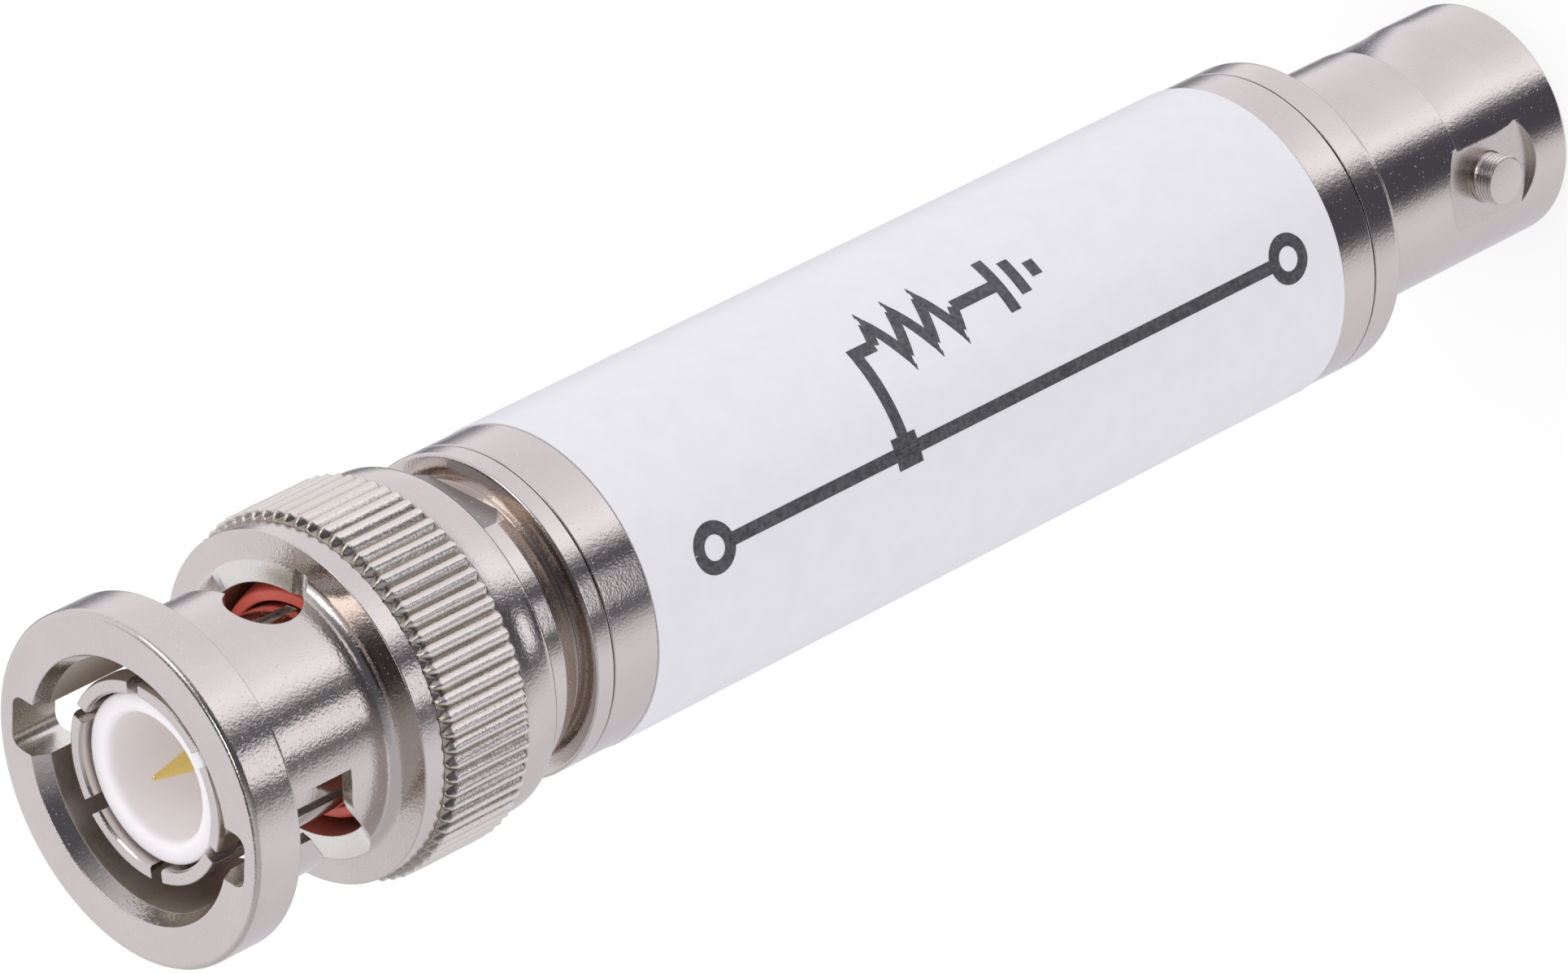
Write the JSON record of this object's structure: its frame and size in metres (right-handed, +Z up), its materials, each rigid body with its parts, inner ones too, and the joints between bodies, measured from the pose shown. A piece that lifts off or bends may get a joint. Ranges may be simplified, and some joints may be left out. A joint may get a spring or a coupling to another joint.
{
  "type": "rf dummy load",
  "caption": "In-line coaxial feed-through termination: bayonet plug with a turning, sprung knurled coupling nut, plated tube with a white sleeve, bayonet socket.",
  "frame": {"origin": "centre of the socket's front face, which is the part's lowest plane", "axes": "+Z runs up the common axis from the socket to the plug, +Y is the normal of one of the two wrench flats"},
  "size_m": [0.0144, 0.0144, 0.072],
  "materials": {
    "satin_nickel": "satin nickel plate on machined brass",
    "spring_steel": "plain spring steel",
    "gold_plate": "gold plate on brass",
    "tinned_copper": "tinned copper",
    "white_fluoropolymer": "smooth white, slightly waxy",
    "white_sleeve_film": "satin white film",
    "red_silicone": "smooth",
    "blue_lacquer": "lacquered film resistor body"
  },
  "bodies": {
    "body": {"socket_shell": "satin_nickel", "bayonet_lug_1": "satin_nickel", "bayonet_lug_2": "satin_nickel", "socket_insulator": "white_fluoropolymer", "socket_rear_insulator": "white_fluoropolymer", "socket_contact": "gold_plate", "body_tube": "satin_nickel", "label_sleeve": "white_sleeve_film", "ground_ring": "tinned_copper", "through_conductor": "tinned_copper", "load_resistor_1": "blue_lacquer", "load_resistor_2": "blue_lacquer", "feed_lead_1": "tinned_copper", "feed_lead_2": "tinned_copper", "ground_lead_1": "tinned_copper", "ground_lead_2": "tinned_copper", "front_end_cap": "satin_nickel", "plug_body": "satin_nickel", "gasket": "red_silicone", "plug_insulator": "white_fluoropolymer", "plug_rear_insulator": "white_fluoropolymer", "plug_pin": "gold_plate", "wave_washer": "spring_steel"},
    "spring_seat": {"thrust_washer": "spring_steel"},
    "nut": {"coupling_nut": "satin_nickel", "retaining_ring": "spring_steel"}
  },
  "joints": [
    {"name": "nut_slide", "type": "slide", "parent": "body", "child": "spring_seat", "axis": [0, 0, 1], "range_m": [0, 0.0014], "stiffness_N_per_m": 5000, "springref_m": -0.0006, "deforming": ["wave_washer"]},
    {"name": "nut_turn", "type": "hinge", "parent": "spring_seat", "child": "nut", "pos_m": [0, 0, 0.05725], "axis": [0, 0, 1], "continuous": true}
  ]
}
